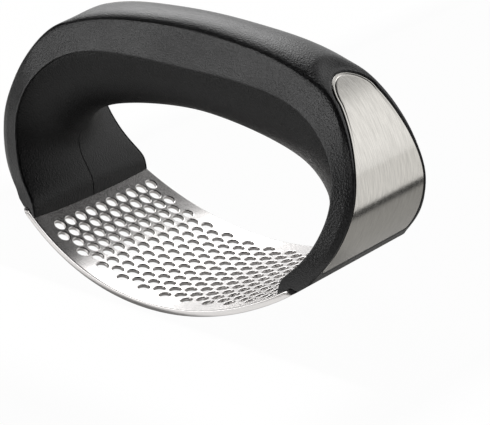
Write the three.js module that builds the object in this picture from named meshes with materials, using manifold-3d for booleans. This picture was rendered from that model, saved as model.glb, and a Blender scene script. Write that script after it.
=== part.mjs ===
// A rocker garlic press: a curved, perforated steel plate under a hollow arched handle.
// Millimetres, +Z up. X runs along the arch, Y from front to back. The origin is the middle of
// the plate's lowest line, which is where the press touches the board when it stands still.

import * as THREE from 'three';
import { mergeVertices } from 'three/addons/utils/BufferGeometryUtils.js';
import Module from 'manifold-3d';

const wasm = await Module();
wasm.setup();

// ---- driving dimensions ----------------------------------------------------------------

// Press plate
const PLATE_RADIUS = 64;          // underside of the rims
const PLATE_THICKNESS = 0.8;
const RIM_HEIGHT = 1.4;           // the long edges are turned down
const RIM_WIDTH = 0.8;
const PLATE_HALF_WIDTH = 22.2;    // in the middle, between the feet
const SIDE_RADIUS = 220;          // the long edges bow outwards, seen from above
const HOLE_PITCH = 3.5;
const ROW_STEP = 3;               // between rows of holes, along the top
const HOLE_ROWS = 22;
const HOLES_PER_ROW = 10;
const HOLE_DIAMETER = 2.6;
const HOLE_SIDES = 6;
const BEND_START = THREE.MathUtils.degToRad(33.2);   // angle on the plate where the flange bends up
const BEND_RADIUS = 2;
const FLANGE_ANGLE = THREE.MathUtils.degToRad(61.5); // slope of the flange inside the leg
const FLANGE_LENGTH = 11;
const FLANGE_WIDTH = 30;
const FLANGE_SLIT = 0.4;          // beside the flange, where it leaves the wide part
const RIM_END = 36.5;             // X where the wide part ends, at the top
const RIM_END_LOW = 38.1;         // and at the underside of the rims

// Handle
const SIDE_WALL = 2;
const CROWN_WALL = 2.6;
const LINER_WALL = 2;
const LINER_LIP = 0.8;            // how far the liner's rim shows on the side band
const GAP = 0.3;                  // between neighbouring pieces
const STATIONS = 48;              // steps along the arch
const CROWN_STEPS = 10;           // steps across the crown
const LINER_STEPS = 10;           // steps across the inner face
const HEEL = [[36, 10.5], [41.5, 13.5], [41.5, 16], [38.2, 15.4]];   // XZ profile that closes a foot

// Trims
const TRIM_THICKNESS = 0.6;
const TRIM_CLEARANCE = 0.35;      // groove around the trim
const TRIM_BOTTOM = 16.6;
const TRIM_TOP = 53.6;
const TRIM_HALF_BOTTOM = 15.5;
const TRIM_HALF_BEND = 13.2;      // control point of the curved sides
const TRIM_BEND_Z = 32.7;
const TRIM_HALF_TOP = 6.4;        // where the rounded top starts
const TRIM_SHOULDER = 50;
const TRIM_STEPS = 6;
const TRIM_START = 0.625;         // share of the arch before the highest point of the right trim
const SEAT_DROP = 0.4;            // the seat lies this share of the way from crown to shoulder
const TAPE_THICKNESS = 0.4;
const TAPE_GAP = 0.15;
const TAPE_MARGIN = 1.6;

// Screws and pegs
const SCREW_Z = 35;
const SCREW_Y = 5;
const HEAD_SUNK = 0.8;            // the head lies this far below the recess
const SCREW_HEAD_DIAMETER = 4.6;
const SCREW_HEAD_HEIGHT = 1.3;
const SCREW_SHANK_DIAMETER = 2.4;
const SCREW_SHANK_LENGTH = 8;
const DRIVE_LENGTH = 2.8;         // the cross slot in the head
const DRIVE_WIDTH = 0.8;
const SHELL_BOSS_DIAMETER = 7;
const SHELL_BOSS_FLOOR = 2;       // wall under the screw head
const LINER_BOSS_DIAMETER = 6;
const LINER_BOSS_START = 28;      // inside the bulge of the liner, which trims it
const PEG_DIAMETER = 3;
const PEG_LENGTH = 4;
const PEG_Y = 8;
const PEG_ALONG_FLANGE = 7.5;
const ROUND_SIDES = 16;
const BEYOND = 60;                // reaches past the whole press, for the shapes that cut

// Rails of the handle, from the middle of the arch down to the right foot. Every rail has one
// point per row, and the rows are cross-sections of the handle. The last row lies below the foot,
// where the plate's arc trims it. crown and ridge lie in the middle (y = 0); shoulder and edge
// are the two long edges of the side band, given as [x, half width, z].
const CROWN = [
  [0, 59.9], [12, 59.4], [22.8, 58.2], [31.8, 55.8], [38.2, 52.1], [42.6, 46.6],
  [46, 40], [47.7, 33], [47.1, 26.8], [44.8, 20.8], [41.8, 16.2], [40.3, 13.9], [38.7, 11.5],
];
const SHOULDER = [
  [0, 6, 57.1], [11.5, 6.2, 56.7], [22, 6.8, 55.7], [30.6, 7.5, 53.7], [37.3, 8.2, 50.8],
  [42.4, 9.5, 46.3], [45.9, 11, 39.9], [47.7, 12.9, 33], [47.1, 14.7, 26.8], [44.8, 16.3, 20.8],
  [41.8, 17.2, 16.2], [40.3, 17.5, 13.9], [38.6, 17.8, 11.6],
];
const EDGE = [
  [0, 7.8, 49.9], [10.5, 7.9, 49.9], [19.5, 8.3, 49.6], [27, 8.9, 48.6], [33.5, 9.8, 46.2],
  [38.3, 11, 42.6], [41.6, 12.5, 38], [42.9, 14.2, 32.5], [42.2, 15.6, 26.8], [39.5, 17.5, 20.5],
  [36, 18.8, 16.3], [34.3, 19.4, 13.9], [33.8, 19.6, 11],
];
const RIDGE = [
  [0, 38.5], [9, 37.9], [17, 36.7], [23.5, 35.2], [28.9, 33.2], [33, 30.3],
  [35.8, 27.1], [37.2, 24.6], [37.4, 22.2], [36.4, 19.4], [34.4, 16.2], [33.5, 13.9], [33.3, 11],
];

// ---- materials -------------------------------------------------------------------------

const steel = new THREE.MeshStandardMaterial({ color: 0xc4c2be, roughness: 0.35, metalness: 1 });
const brushedSteel = new THREE.MeshStandardMaterial({ color: 0xb9b6b0, roughness: 0.4, metalness: 1 });
const blackShell = new THREE.MeshStandardMaterial({ color: 0x1b1b1c, roughness: 0.5, metalness: 0 });
const blackLiner = new THREE.MeshStandardMaterial({ color: 0x151516, roughness: 0.55, metalness: 0 });
const tapeFoam = new THREE.MeshStandardMaterial({ color: 0x2c2c2e, roughness: 0.95, metalness: 0 });
const zincScrew = new THREE.MeshStandardMaterial({ color: 0x9a9da0, roughness: 0.35, metalness: 1 });

// ---- solids ----------------------------------------------------------------------------

function toSolid(geometry) {
  const bare = geometry.clone();
  bare.deleteAttribute('normal');
  bare.deleteAttribute('uv');
  const merged = mergeVertices(bare, 1e-5);
  return new wasm.Manifold(new wasm.Mesh({
    numProp: 3,
    vertProperties: new Float32Array(merged.attributes.position.array),
    triVerts: new Uint32Array(merged.index.array),
  }));
}

function toGeometry(solid) {
  const mesh = solid.getMesh();
  const geometry = new THREE.BufferGeometry();
  geometry.setAttribute('position', new THREE.BufferAttribute(new Float32Array(mesh.vertProperties), 3));
  geometry.setIndex(new THREE.BufferAttribute(new Uint32Array(mesh.triVerts), 1));
  geometry.computeVertexNormals();
  return geometry;
}

// A profile in the XZ plane, extruded to both sides of y = 0.
function extrudeAcross(profile, width) {
  const shape = new THREE.Shape(profile.map(([x, z]) => new THREE.Vector2(x, z)));
  const geometry = new THREE.ExtrudeGeometry(shape, { depth: width, bevelEnabled: false });
  geometry.rotateX(Math.PI / 2);
  geometry.translate(0, width / 2, 0);
  return toSolid(geometry);
}

// An outline in the YZ plane, extruded along X between two distances.
function extrudeAlong(outline, from, to) {
  const shape = new THREE.Shape(outline.map(([y, z]) => new THREE.Vector2(y, z)));
  const geometry = new THREE.ExtrudeGeometry(shape, { depth: to - from, bevelEnabled: false });
  const axes = new THREE.Matrix4().makeBasis(
    new THREE.Vector3(0, 1, 0), new THREE.Vector3(0, 0, 1), new THREE.Vector3(1, 0, 0));
  geometry.applyMatrix4(axes);
  geometry.translate(from, 0, 0);
  return toSolid(geometry);
}

// A cylinder from one point towards a direction in the XZ plane.
function rod(start, angle, length, diameter, sides = ROUND_SIDES) {
  const geometry = new THREE.CylinderGeometry(diameter / 2, diameter / 2, length, sides);
  geometry.translate(0, length / 2, 0);
  geometry.rotateZ(angle - Math.PI / 2);
  geometry.rotateX(Math.PI / 2);
  geometry.translate(start[0], start[1], start[2]);
  return toSolid(geometry);
}

function mirrorX(solid) {
  return solid.mirror([1, 0, 0]);
}

function withMirror(solid) {
  return solid.add(mirrorX(solid));
}

function onBothSides(y, make) {
  return make(-y).add(make(y));
}

// ---- press plate -----------------------------------------------------------------------

const TOP_RADIUS = PLATE_RADIUS - RIM_HEIGHT;
const MID_RADIUS = TOP_RADIUS + PLATE_THICKNESS / 2;
const ROW_ANGLE = ROW_STEP / TOP_RADIUS;
// The two middle rows share one level facet. The rims rest there at z = 0.
const CENTRE_Z = PLATE_RADIUS * Math.cos(ROW_ANGLE);

// The plate's middle line up to the flange, as points with the direction in which it runs.
function platePath() {
  const path = rowAngles(BEND_START).map(arcPoint);
  const centre = offsetPoint(arcPoint(BEND_START), BEND_RADIUS);
  const bendSteps = 3;
  for (let step = 1; step <= bendSteps; step += 1) {
    const angle = BEND_START + (FLANGE_ANGLE - BEND_START) * step / bendSteps;
    path.push({
      x: centre[0] + BEND_RADIUS * Math.sin(angle),
      z: centre[1] - BEND_RADIUS * Math.cos(angle),
      angle,
    });
  }
  return path;
}

// The angles of the rows on the right half of the plate, and one last angle.
function rowAngles(last) {
  const angles = [];
  for (let angle = ROW_ANGLE; angle < last; angle += ROW_ANGLE) {
    angles.push(angle);
  }
  return [...angles, last];
}

function arcPoint(angle) {
  return { x: MID_RADIUS * Math.sin(angle), z: CENTRE_Z - MID_RADIUS * Math.cos(angle), angle };
}

// The point at a signed distance from a path point, towards the inside of the arch.
function offsetPoint(point, distance) {
  return [point.x - distance * Math.sin(point.angle), point.z + distance * Math.cos(point.angle)];
}

function flangePoint(along) {
  const centre = offsetPoint(arcPoint(BEND_START), BEND_RADIUS);
  return {
    x: centre[0] + BEND_RADIUS * Math.sin(FLANGE_ANGLE) + along * Math.cos(FLANGE_ANGLE),
    z: centre[1] - BEND_RADIUS * Math.cos(FLANGE_ANGLE) + along * Math.sin(FLANGE_ANGLE),
    angle: FLANGE_ANGLE,
  };
}

// The closed profile of the plate, thickened by a clearance on both sides.
function plateProfile(clearance) {
  const half = PLATE_THICKNESS / 2 + clearance;
  const path = [...platePath(), flangePoint(FLANGE_LENGTH + clearance)];
  const under = path.map((point) => offsetPoint(point, -half));
  const over = path.map((point) => offsetPoint(point, half));
  const mirrored = (points) => points.map(([x, z]) => [-x, z]).reverse();
  return [...mirrored(under), ...under, ...over.slice().reverse(), ...mirrored(over).reverse()];
}

// A band of the arc between two radii, which ends on the slanted ends of the plate's wide part.
function arcBand(lowRadius, topRadius, clearance) {
  const right = (radius) => {
    const share = (radius - TOP_RADIUS) / RIM_HEIGHT;
    const end = THREE.MathUtils.lerp(RIM_END, RIM_END_LOW, share) + clearance;
    return rowAngles(Math.asin(end / radius))
      .map((angle) => [radius * Math.sin(angle), CENTRE_Z - radius * Math.cos(angle)]);
  };
  const mirrored = (points) => points.map(([x, z]) => [-x, z]).reverse();
  const low = right(lowRadius);
  const top = right(topRadius);
  return [...mirrored(low), ...low, ...top.slice().reverse(), ...mirrored(top).reverse()];
}

// Everything inside the plate's bowed long edges, moved inwards by a distance.
function insideEdges(distance) {
  const right = rowAngles(Math.asin((RIM_END_LOW + 1) / PLATE_RADIUS)).map((angle) => {
    const x = PLATE_RADIUS * Math.sin(angle);
    const bow = SIDE_RADIUS - Math.sqrt(SIDE_RADIUS ** 2 - x ** 2);
    return [x, PLATE_HALF_WIDTH - distance - (angle === ROW_ANGLE ? 0 : bow)];
  });
  const back = [...right.map(([x, y]) => [-x, y]).reverse(), ...right];
  const outline = [...back.slice().reverse(), ...back.map(([x, y]) => [x, -y])];
  const shape = new THREE.Shape(outline.map(([x, y]) => new THREE.Vector2(x, y)));
  return toSolid(new THREE.ExtrudeGeometry(shape, { depth: BEYOND, bevelEnabled: false })
    .translate(0, 0, -BEYOND / 2));
}

function pressPlate() {
  const holes = [];
  for (let row = 0; row < HOLE_ROWS; row += 1) {
    const angle = (row - (HOLE_ROWS - 1) / 2) * ROW_ANGLE;
    const stagger = (row % 2 === 0 ? 0.25 : -0.25) * HOLE_PITCH;
    for (let column = 0; column < HOLES_PER_ROW; column += 1) {
      const y = (column - (HOLES_PER_ROW - 1) / 2) * HOLE_PITCH + stagger;
      const [x, z] = offsetPoint(arcPoint(angle), -PLATE_THICKNESS);
      holes.push(rod([x, y, z], angle + Math.PI / 2, 2 * PLATE_THICKNESS, HOLE_DIAMETER, HOLE_SIDES));
    }
  }
  const bendX = MID_RADIUS * Math.sin(BEND_START);
  const notch = toSolid(new THREE.BoxGeometry(BEYOND, FLANGE_WIDTH + 2 * FLANGE_SLIT, BEYOND)
    .translate(bendX - FLANGE_SLIT + BEYOND / 2, 0, 0));
  const sheet = extrudeAcross(arcBand(TOP_RADIUS + PLATE_THICKNESS, TOP_RADIUS, 0), BEYOND);
  const rims = extrudeAcross(arcBand(PLATE_RADIUS, TOP_RADIUS, 0), BEYOND)
    .subtract(insideEdges(RIM_WIDTH));
  return sheet.add(rims)
    .intersect(insideEdges(0))
    .subtract(withMirror(notch))
    .add(extrudeAcross(plateProfile(0), FLANGE_WIDTH))
    .subtract(wasm.Manifold.union(holes))
    .subtract(pegs(-PLATE_THICKNESS, 2 * PLATE_THICKNESS, PEG_DIAMETER + 2 * GAP));
}

// Rods square to both flanges, from a distance below the flange's middle.
function pegs(from, length, diameter) {
  const [x, z] = offsetPoint(flangePoint(PEG_ALONG_FLANGE), from);
  return withMirror(onBothSides(PEG_Y, (y) => rod([x, y, z], FLANGE_ANGLE + Math.PI / 2, length, diameter)));
}

// ---- handle ----------------------------------------------------------------------------

// A smooth curve through a rail's points and their mirror images, from the left foot to the right.
function fullRail(points) {
  const right = points.map((p) => new THREE.Vector3(p[0], p.length === 3 ? p[1] : 0, p[p.length - 1]));
  const left = right.slice(1).map((p) => new THREE.Vector3(-p.x, p.y, p.z)).reverse();
  return new THREE.CatmullRomCurve3([...left, ...right], false, 'catmullrom', 0.5);
}

const crownRail = fullRail(CROWN);
const shoulderRail = fullRail(SHOULDER);
const edgeRail = fullRail(EDGE);
const ridgeRail = fullRail(RIDGE);

// The point of a rail moved towards the inside of the arch, square to the rail.
function inset(rail, t, distance) {
  const point = rail.getPoint(t);
  const tangent = rail.getTangent(t);
  const length = Math.hypot(tangent.x, tangent.z);
  return point.add(new THREE.Vector3(tangent.z * distance / length, 0, -tangent.x * distance / length));
}

// The side band at one station: a point that lies a distance from the inner edge.
function bandPoint(t, distance) {
  const edge = edgeRail.getPoint(t);
  const shoulder = shoulderRail.getPoint(t);
  return edge.clone().add(shoulder.clone().sub(edge).setLength(distance));
}

// How the inner face bulges: round under the crown, a flatter parabola on the legs.
function fullness(t) {
  const along = Math.abs(2 * t - 1);
  return THREE.MathUtils.lerp(0.5, 1, THREE.MathUtils.smoothstep(along, 0.18, 0.73));
}

// An arch of points from the front (-Y) to the back (+Y) that rises from a base to a peak.
function bow(base, halfWidth, peak, power, count) {
  const points = [];
  for (let i = 0; i <= count; i += 1) {
    const turn = Math.PI * i / count;
    const rise = Math.sin(turn) ** (2 * power);
    const y = -halfWidth * Math.cos(turn);
    points.push(new THREE.Vector3(
      THREE.MathUtils.lerp(base.x, peak.x, rise), y, THREE.MathUtils.lerp(base.z, peak.z, rise)));
  }
  return points;
}

// The inner face of the handle, moved into the material by a distance.
function innerBow(t, distance, count) {
  const base = distance > 0 ? bandPoint(t, LINER_LIP) : edgeRail.getPoint(t);
  const ridge = ridgeRail.getPoint(t);
  const middle = new THREE.Vector3(base.x, 0, base.z);
  const depth = middle.distanceTo(ridge);
  const peak = ridge.clone().lerp(middle, Math.min(distance, depth) / depth);
  return bow(base, base.y - distance, peak, fullness(t), count);
}

// The outer face of the handle, moved into the material by a distance.
function outerBow(t, distance, sideDistance, count) {
  const shoulder = distance > 0 ? inset(shoulderRail, t, distance) : shoulderRail.getPoint(t);
  const crown = distance > 0 ? inset(crownRail, t, distance) : crownRail.getPoint(t);
  return bow(shoulder, shoulder.y - sideDistance, crown, 0.5, count);
}

function front(point) {
  return new THREE.Vector3(point.x, -point.y, point.z);
}

// The triangles that close one end of a loft, wound along the ring or against it.
function capFaces(ring, start, alongRing) {
  const flat = ring.map((p) => new THREE.Vector2(p.y, Math.abs(p.x)));
  const faces = THREE.ShapeUtils.triangulateShape(flat, []);
  const runsAlong = faces.some(([a, b, c]) => [[a, b], [b, c], [c, a]].some(([p, q]) => q === p + 1));
  return faces.flatMap(([a, b, c]) => (runsAlong === alongRing
    ? [start + a, start + b, start + c] : [start + a, start + c, start + b]));
}

// A closed body through rings of points, one ring per station.
function loft(ringAt) {
  const rings = [];
  for (let i = 0; i <= STATIONS; i += 1) {
    rings.push(ringAt(i / STATIONS));
  }
  const size = rings[0].length;
  const positions = rings.flat().flatMap((p) => [p.x, p.y, p.z]);
  const index = [];
  for (let i = 0; i < STATIONS; i += 1) {
    for (let j = 0; j < size; j += 1) {
      const a = i * size + j;
      const b = i * size + (j + 1) % size;
      index.push(a, a + size, b + size, a, b + size, b);
    }
  }
  index.push(...capFaces(rings[0], 0, true), ...capFaces(rings[STATIONS], STATIONS * size, false));
  const geometry = new THREE.BufferGeometry();
  geometry.setAttribute('position', new THREE.Float32BufferAttribute(positions, 3));
  geometry.setIndex(index);
  return toSolid(geometry);
}

// The outer shell: crown, side bands and outer leg faces, open towards the liner.
function shellRing(t) {
  const rim = bandPoint(t, LINER_LIP + GAP);
  const rimInside = rim.clone().setY(rim.y - SIDE_WALL);
  const outside = outerBow(t, 0, 0, CROWN_STEPS);
  const inside = outerBow(t, CROWN_WALL, SIDE_WALL, CROWN_STEPS - 2);
  return [front(rim), ...outside, rim, rimInside, ...inside.reverse(), front(rimInside)];
}

// The liner: the inner face of the arch with a narrow lip on each side band.
function linerRing(t) {
  const lip = bandPoint(t, LINER_LIP);
  const face = innerBow(t, 0, LINER_STEPS);
  const back = innerBow(t, LINER_WALL, LINER_STEPS - 2);
  return [front(lip), ...back, lip, ...face.reverse()];
}

// Everything between the middle of the liner's wall and the middle of the shell's wall.
function coreRing(t) {
  const lower = innerBow(t, LINER_WALL / 2, LINER_STEPS);
  const upper = outerBow(t, CROWN_WALL / 2, SIDE_WALL / 2, CROWN_STEPS);
  return [...upper, ...lower.reverse()];
}

function arc(radius, fromX, toX, steps) {
  const points = [];
  const from = Math.asin(fromX / radius);
  const to = Math.asin(toX / radius);
  for (let i = 0; i <= steps; i += 1) {
    const angle = THREE.MathUtils.lerp(from, to, i / steps);
    points.push([radius * Math.sin(angle), CENTRE_Z - radius * Math.cos(angle)]);
  }
  return points;
}

// Room for the plate: everything below it, and the slot that takes each flange. Past the plate's
// slanted ends, the feet come down to the level of the rims.
function plateRoom() {
  const over = TOP_RADIUS - GAP;
  const footEnd = 50;
  const top = RIM_END + GAP;
  const low = RIM_END_LOW + GAP;
  const profile = [
    [-footEnd, -BEYOND], [footEnd, -BEYOND],
    ...arc(PLATE_RADIUS, footEnd, low, 6),
    ...arc(over, top, -top, 24),
    ...arc(PLATE_RADIUS, -low, -footEnd, 6),
  ];
  const slot = extrudeAcross(plateProfile(GAP), FLANGE_WIDTH + 2 * GAP);
  return extrudeAcross(profile, BEYOND).add(slot);
}

// The seat of the trim: a face that is straight across, between the crown and the shoulders.
const seatRail = fullRail(CROWN.map(([x, z], row) => {
  const [shoulderX, , shoulderZ] = SHOULDER[row];
  return [THREE.MathUtils.lerp(x, shoulderX, SEAT_DROP), THREE.MathUtils.lerp(z, shoulderZ, SEAT_DROP)];
}));

function trimOutline(clearance) {
  const bottom = TRIM_BOTTOM - clearance;
  const halfTop = TRIM_HALF_TOP + clearance;
  const halfBottom = TRIM_HALF_BOTTOM + clearance;
  const shape = new THREE.Shape();
  shape.moveTo(-halfBottom, bottom);
  shape.lineTo(halfBottom, bottom);
  shape.quadraticCurveTo(TRIM_HALF_BEND + clearance, TRIM_BEND_Z, halfTop, TRIM_SHOULDER);
  shape.absellipse(0, TRIM_SHOULDER, halfTop, TRIM_TOP + clearance - TRIM_SHOULDER, 0, Math.PI, false, 0);
  shape.quadraticCurveTo(-TRIM_HALF_BEND - clearance, TRIM_BEND_Z, -halfBottom, bottom);
  return shape.getPoints(TRIM_STEPS).slice(0, -1).map((p) => [p.x, p.y]);
}

// A tongue-shaped sheet on the right leg between two depths below the trim's seat.
function tongue(fromDepth, toDepth, clearance) {
  const near = [];
  const far = [];
  for (let i = Math.round(STATIONS * TRIM_START); i <= STATIONS; i += 1) {
    const upper = inset(seatRail, i / STATIONS, fromDepth);
    const lower = inset(seatRail, i / STATIONS, toDepth);
    near.push([upper.x, upper.z]);
    far.push([lower.x, lower.z]);
  }
  const sheet = extrudeAcross([...near, ...far.reverse()], BEYOND);
  return sheet.intersect(extrudeAlong(trimOutline(clearance), 0, BEYOND));
}

// How far out the trim's seat lies at a height.
function seatX(z) {
  const nearest = seatRail.getPoints(800).sort((a, b) => Math.abs(a.z - z) - Math.abs(b.z - z));
  return Math.abs(nearest[0].x);
}

const RECESS_DEPTH = TRIM_THICKNESS + TAPE_THICKNESS + 2 * TAPE_GAP;
const HEAD_TOP = seatX(SCREW_Z) - RECESS_DEPTH - HEAD_SUNK;
const HEAD_SEAT = HEAD_TOP - SCREW_HEAD_HEIGHT;
const SHELL_BOSS_START = HEAD_SEAT - SHELL_BOSS_FLOOR;

// Level rods at the height of the screws, one for each screw of a leg.
function rods(from, to, diameter) {
  return onBothSides(SCREW_Y, (y) => rod([from, y, SCREW_Z], 0, to - from, diameter));
}

function outerShell(core) {
  const heel = extrudeAcross(HEEL, BEYOND);
  const boss = rods(SHELL_BOSS_START, HEAD_TOP, SHELL_BOSS_DIAMETER);
  const headRoom = rods(HEAD_SEAT - GAP / 2, BEYOND, SCREW_HEAD_DIAMETER + 2 * GAP);
  const shankRoom = rods(0, HEAD_TOP, SCREW_SHANK_DIAMETER + 2 * GAP);
  const recess = tongue(-CROWN_WALL, RECESS_DEPTH, TRIM_CLEARANCE);
  return loft(shellRing)
    .add(withMirror(heel.add(boss)).intersect(core))
    .subtract(withMirror(headRoom.add(shankRoom).add(recess)))
    .subtract(plateRoom());
}

function innerLiner(core) {
  const boss = rods(LINER_BOSS_START, SHELL_BOSS_START - GAP, LINER_BOSS_DIAMETER);
  const pilot = rods(HEAD_SEAT - SCREW_SHANK_LENGTH - GAP, BEYOND, SCREW_SHANK_DIAMETER + 2 * GAP);
  return loft(linerRing)
    .add(withMirror(boss).intersect(core))
    .subtract(withMirror(pilot))
    .subtract(plateRoom())
    .add(pegs(-PLATE_THICKNESS / 2, PEG_LENGTH, PEG_DIAMETER).intersect(core));
}

// ---- trims, tapes and screws -----------------------------------------------------------

function trim() {
  return tongue(0, TRIM_THICKNESS, 0);
}

function trimTape() {
  const from = TRIM_THICKNESS + TAPE_GAP;
  return tongue(from, from + TAPE_THICKNESS, -TAPE_MARGIN);
}

function screw(y) {
  const head = rod([HEAD_SEAT, y, SCREW_Z], 0, SCREW_HEAD_HEIGHT, SCREW_HEAD_DIAMETER);
  const start = HEAD_SEAT - SCREW_SHANK_LENGTH;
  const shank = rod([start, y, SCREW_Z], 0, SCREW_SHANK_LENGTH + SCREW_HEAD_HEIGHT / 2, SCREW_SHANK_DIAMETER);
  const slot = toSolid(new THREE.BoxGeometry(SCREW_HEAD_HEIGHT, DRIVE_LENGTH, DRIVE_WIDTH)
    .translate(HEAD_TOP, y, SCREW_Z));
  const crossSlot = toSolid(new THREE.BoxGeometry(SCREW_HEAD_HEIGHT, DRIVE_WIDTH, DRIVE_LENGTH)
    .translate(HEAD_TOP, y, SCREW_Z));
  return head.add(shank).subtract(slot.add(crossSlot));
}

// ---- the assembly ----------------------------------------------------------------------

const press = new THREE.Group();

function place(name, solid, material) {
  const mesh = new THREE.Mesh(toGeometry(solid), material);
  mesh.name = name;
  press.add(mesh);
}

const core = loft(coreRing);
place('press_plate', pressPlate(), steel);
place('handle_outer_shell', outerShell(core), blackShell);
place('handle_inner_liner', innerLiner(core), blackLiner);
for (const [side, turn] of [['right', (solid) => solid], ['left', mirrorX]]) {
  place(`trim_${side}`, turn(trim()), brushedSteel);
  place(`trim_tape_${side}`, turn(trimTape()), tapeFoam);
  place(`screw_${side}_front`, turn(screw(-SCREW_Y)), zincScrew);
  place(`screw_${side}_back`, turn(screw(SCREW_Y)), zincScrew);
}

export default press;
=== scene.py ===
"""Looks of the rocker garlic press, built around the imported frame.

The plate, the two handle mouldings and the trims are remade as fine meshes; the tapes and screws
keep their CAD meshes and get materials. Shapes are worked out in millimetres, in the frame's axes,
and scaled to metres when a mesh is made.
"""

import math

import bmesh
import bpy
import numpy as np
from mathutils import Matrix, Vector, geometry

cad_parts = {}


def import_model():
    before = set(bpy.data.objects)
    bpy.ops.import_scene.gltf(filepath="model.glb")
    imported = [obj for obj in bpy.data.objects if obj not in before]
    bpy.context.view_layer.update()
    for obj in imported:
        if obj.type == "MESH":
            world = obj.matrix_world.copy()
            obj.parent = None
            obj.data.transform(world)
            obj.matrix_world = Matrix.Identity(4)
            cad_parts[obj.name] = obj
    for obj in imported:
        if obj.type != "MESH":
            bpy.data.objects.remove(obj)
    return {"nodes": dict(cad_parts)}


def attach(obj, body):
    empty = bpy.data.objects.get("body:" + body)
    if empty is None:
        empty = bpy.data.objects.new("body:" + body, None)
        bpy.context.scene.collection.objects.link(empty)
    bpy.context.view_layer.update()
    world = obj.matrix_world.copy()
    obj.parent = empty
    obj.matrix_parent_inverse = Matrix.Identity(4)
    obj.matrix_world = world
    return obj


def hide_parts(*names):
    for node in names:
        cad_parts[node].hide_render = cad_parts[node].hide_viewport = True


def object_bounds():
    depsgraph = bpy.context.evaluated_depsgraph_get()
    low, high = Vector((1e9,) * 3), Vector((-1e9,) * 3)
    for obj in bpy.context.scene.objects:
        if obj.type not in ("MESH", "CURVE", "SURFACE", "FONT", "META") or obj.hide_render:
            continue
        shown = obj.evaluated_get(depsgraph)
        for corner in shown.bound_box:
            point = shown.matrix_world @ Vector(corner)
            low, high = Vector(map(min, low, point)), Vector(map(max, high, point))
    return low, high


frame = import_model()
cad_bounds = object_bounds()

MM = 0.001
SMOOTH_ANGLE = 35              # degrees: sharper edges stay sharp
PLATE_SMOOTH_ANGLE = 50
TRIM_SMOOTH_ANGLE = 60

# Press plate
PLATE_RADIUS = 64.0            # underside of the turned-down edges
PLATE_THICKNESS = 0.8
RIM_HEIGHT = 1.4               # the long edges are turned down
PLATE_HALF_WIDTH = 22.2
SIDE_RADIUS = 220.0            # the long edges bow outwards, seen from above
HOLE_PITCH = 3.5
ROW_STEP = 3.0                 # along the top
HOLE_ROWS = 22
HOLES_PER_ROW = 10
HOLE_SIDES = 24
HOLE_RADIUS = 1.3
# Radius, and height from the top: each hole starts in a flat ring and a rounded edge.
HOLE_PROFILE = ((1.57, 0.0), (1.5, 0.0), (1.4, -0.03), (1.33, -0.11), (HOLE_RADIUS, -0.22))
BEND_START = math.radians(33.2)
BEND_RADIUS = 2.0
FLANGE_ANGLE = math.radians(61.5)
FLANGE_LENGTH = 11.0
FLANGE_WIDTH = 30.0
FLANGE_SLIT = 0.4              # beside the flange, where it leaves the wide part
PEG_ALONG_FLANGE = 7.5
PEG_Y = 8.0
PEG_RADIUS = 1.5
PEG_PLAY = 0.1
SLOT_LEAD = 4.0                # a flange's slot starts this far before the bend
RIM_END = 36.5                 # x where the wide part ends, at the top
RIM_END_LOW = 38.1             # and at the underside of the turned-down edges
EAR_ROUND = 1.2                # rounding at the corners of the wide part
RIM_WIDTH = 0.85               # width of the turned-down edge, seen from below
EDGE_INSET = 0.2               # where the flat of the sheet starts
LEAST_STEP = 0.05              # least width of the turned-down edge, where it ends at a corner
PAST_CORNER = 0.3              # from the rounding to the next point of the end
RIM_STEPS = 45                 # points along a quarter of the long edges
ROUND_STEPS = 5
SLIT_STEPS = 4
BEND_STEPS = 7
# Rows of extra points that carry the bend: y inside the flanges, and y beside them.
FLANGE_ROWS = np.linspace(-14.4, 14.4, 16)
EAR_ROWS = (-17.6, -16.4, 16.4, 17.6)
# Half length, depth and width of the solid that is cut from the handle for the plate, and its steps.
ROOM_REACH = 50.0
ROOM_DEPTH = 20.0
ROOM_WIDTH = 60.0
ROOM_STEPS = 90
ROOM_END_STEPS = 12

# Handle
STEPS_PER_ROW = 14
CROWN_STEPS = 40
BAND_STEPS = 8
CEILING_STEPS = 8
LINER_STEPS = 48
LINER_BACK_STEPS = 12
FINE_STEPS = 300
SIDE_WALL = 2.0
CROWN_WALL = 2.6
LINER_WALL = 2.0
LINER_SHARE = 0.9              # of the legs' depth, which the liner's wall never passes
FULLNESS_SPAN = (0.18, 0.73)   # the inner face turns from round to full between these stations
RIM_WALL = 0.3                 # the shell's thin wall around the liner
RIM_DEPTH = 1.2
SEAM = 0.12                    # between the liner and that wall
EDGE_ROUND = 0.3
FLANK = 1.5                    # how far the ridge beside a trim lies down the side band
FLANK_STARTS = (0.36, 0.5)     # stations where it starts, and where it ends
FLANK_ENDS = (0.66, 1.0)
RIDGE_HEIGHT = 0.2
RIDGE_SPREAD = 0.22
RIDGE_AT = 0.28                # from the border of the crown
# Distances of the lines of points that carry it, from the same border
RIDGE_LINES = (0.1, 0.2, 0.3, 0.42, 0.6)
PARTING_WIDTH = 0.15           # the line down the middle of the legs' inner faces
PARTING_DEPTH = 0.1
PARTING_SPAN = (0.5, 0.6)      # stations where the line starts
PARTING_CLEAR = 0.06           # the other columns start this share of the half face beside it
NOTCH_DEPTH = 0.5              # the line ends in a notch at the plate
NOTCH_SPAN = (0.925, 0.935)
CORNER = 0.2                   # rounding between crown and side band
CONTACT = 0.06                 # between the plate and the handle
SEAT_DROP = 0.4

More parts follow.
